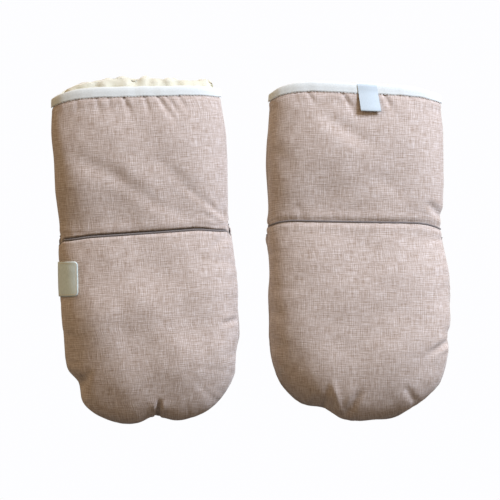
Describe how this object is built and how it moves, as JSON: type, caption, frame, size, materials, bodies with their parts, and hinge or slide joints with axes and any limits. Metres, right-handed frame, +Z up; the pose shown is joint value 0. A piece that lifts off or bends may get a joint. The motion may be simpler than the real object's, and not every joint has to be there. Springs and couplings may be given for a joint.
{
  "type": "stroller hand muff pair",
  "caption": "Pair of lambskin-lined fabric hand muffs that hang side by side on a stroller's push bar, each a cuff over a folding mitten-shaped pouch with a piped front slot.",
  "frame": {"origin": "on the axis of the stroller's push bar, midway between the muffs", "axes": "+X along the push bar, from the left muff to the right one; +Z up, from the fingertips to the mouths; +Y away from the viewer, out of the back of the left muff"},
  "size_m": [0.3682, 0.0724, 0.3184],
  "materials": {
    "linen": "matt melange linen-look weave",
    "lambskin": "soft curly wool pile",
    "binding": "smooth white bias tape",
    "piping": "matt cord in folded fabric",
    "tape": "hook and loop tape",
    "elastic": "woven elastic",
    "label": "woven label, left bare",
    "ribbon": "white satin ribbon, left bare"
  },
  "bodies": {
    "left_cuff": {"left_cuff_front_panel": "linen", "left_cuff_back_panel": "linen", "left_cuff_lining": "lambskin", "left_mouth_binding": "binding", "left_mouth_elastic": "elastic", "left_loop_tape": "tape"},
    "left_pouch": {"left_pouch_front_panel": "linen", "left_pouch_back_panel": "linen", "left_pouch_lining": "lambskin", "left_hook_tape": "tape", "left_slot_piping": "piping", "left_back_piping": "piping", "left_side_label": "label"},
    "right_cuff": {"right_cuff_front_panel": "linen", "right_cuff_back_panel": "linen", "right_cuff_lining": "lambskin", "right_mouth_binding": "binding", "right_mouth_elastic": "elastic", "right_loop_tape": "tape", "right_care_label": "ribbon"},
    "right_pouch": {"right_pouch_front_panel": "linen", "right_pouch_back_panel": "linen", "right_pouch_lining": "lambskin", "right_hook_tape": "tape", "right_slot_piping": "piping", "right_back_piping": "piping"}
  },
  "joints": [
    {"name": "left_pouch_fold", "type": "hinge", "parent": "left_cuff", "child": "left_pouch", "pos_m": [-0.0985, 0.028, -0.0019], "axis": [0.9976, 0, 0.0698], "range_deg": [0, 80]},
    {"name": "right_muff_slide", "type": "slide", "parent": "left_cuff", "child": "right_cuff", "axis": [1, 0, 0], "range_m": [-0.018, 0.15]},
    {"name": "right_pouch_fold", "type": "hinge", "parent": "right_cuff", "child": "right_pouch", "pos_m": [0.0952, -0.028, 0.001], "axis": [-0.9998, 0, 0.0175], "range_deg": [0, 80]}
  ]
}
